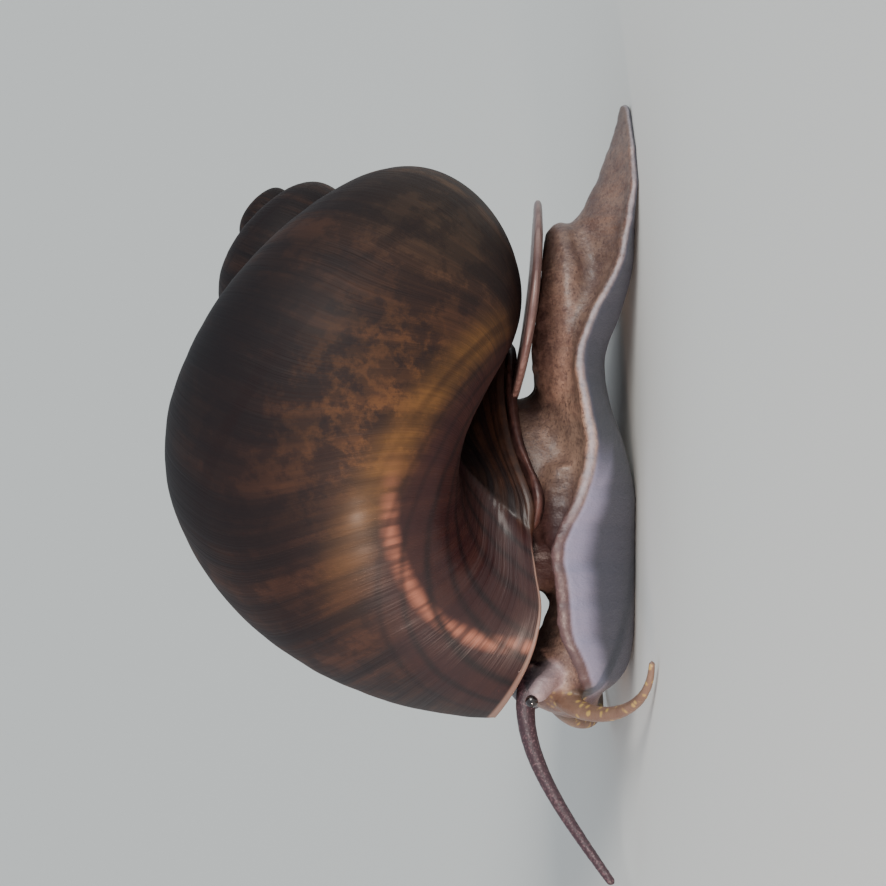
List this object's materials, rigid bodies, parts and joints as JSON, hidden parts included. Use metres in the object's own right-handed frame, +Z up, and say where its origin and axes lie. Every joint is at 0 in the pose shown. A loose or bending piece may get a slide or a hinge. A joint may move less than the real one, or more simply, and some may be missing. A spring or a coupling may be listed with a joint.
{
  "type": "apple snail",
  "caption": "Still life-size model of a crawling apple snail: coiled right-handed shell on a broad foot with a pointed tail, horny operculum, long tentacles and short palps.",
  "frame": {"origin": "on the floor, at the middle of the box round the whole animal seen from above", "axes": "+Z up, -Y towards the head, +X to the animal's left side, which the picture shows"},
  "size_m": [0.048, 0.0718, 0.0432],
  "materials": {
    "shell": "dark brown horny outer skin over shell, glossy and wet, with spiral bands and growth lines",
    "operculum": "thin brown horn with growth rings, satin",
    "flesh": "wet mottled brown skin with a pale rim and a lilac grey sole",
    "mantle": "wet smooth grey brown skin",
    "feeler": "wet dark skin with fine pale speckles",
    "eye": "wet black bead"
  },
  "bodies": {
    "root": {"shell": "shell", "operculum": "operculum", "operculum_lobe": "flesh", "mantle": "mantle", "neck": "flesh", "neck_lobe_left": "mantle", "neck_lobe_right": "mantle", "head": "flesh", "foot_front": "flesh", "foot_tail": "flesh", "tentacle_left_base": "feeler", "tentacle_left_middle": "feeler", "tentacle_left_tip": "feeler", "tentacle_right_base": "feeler", "tentacle_right_middle": "feeler", "tentacle_right_tip": "feeler", "palp_left_base": "feeler", "palp_left_tip": "feeler", "palp_right_base": "feeler", "palp_right_tip": "feeler", "eye_stalk_left": "flesh", "eye_stalk_right": "flesh", "eye_left": "eye", "eye_right": "eye"}
  },
  "joints": []
}
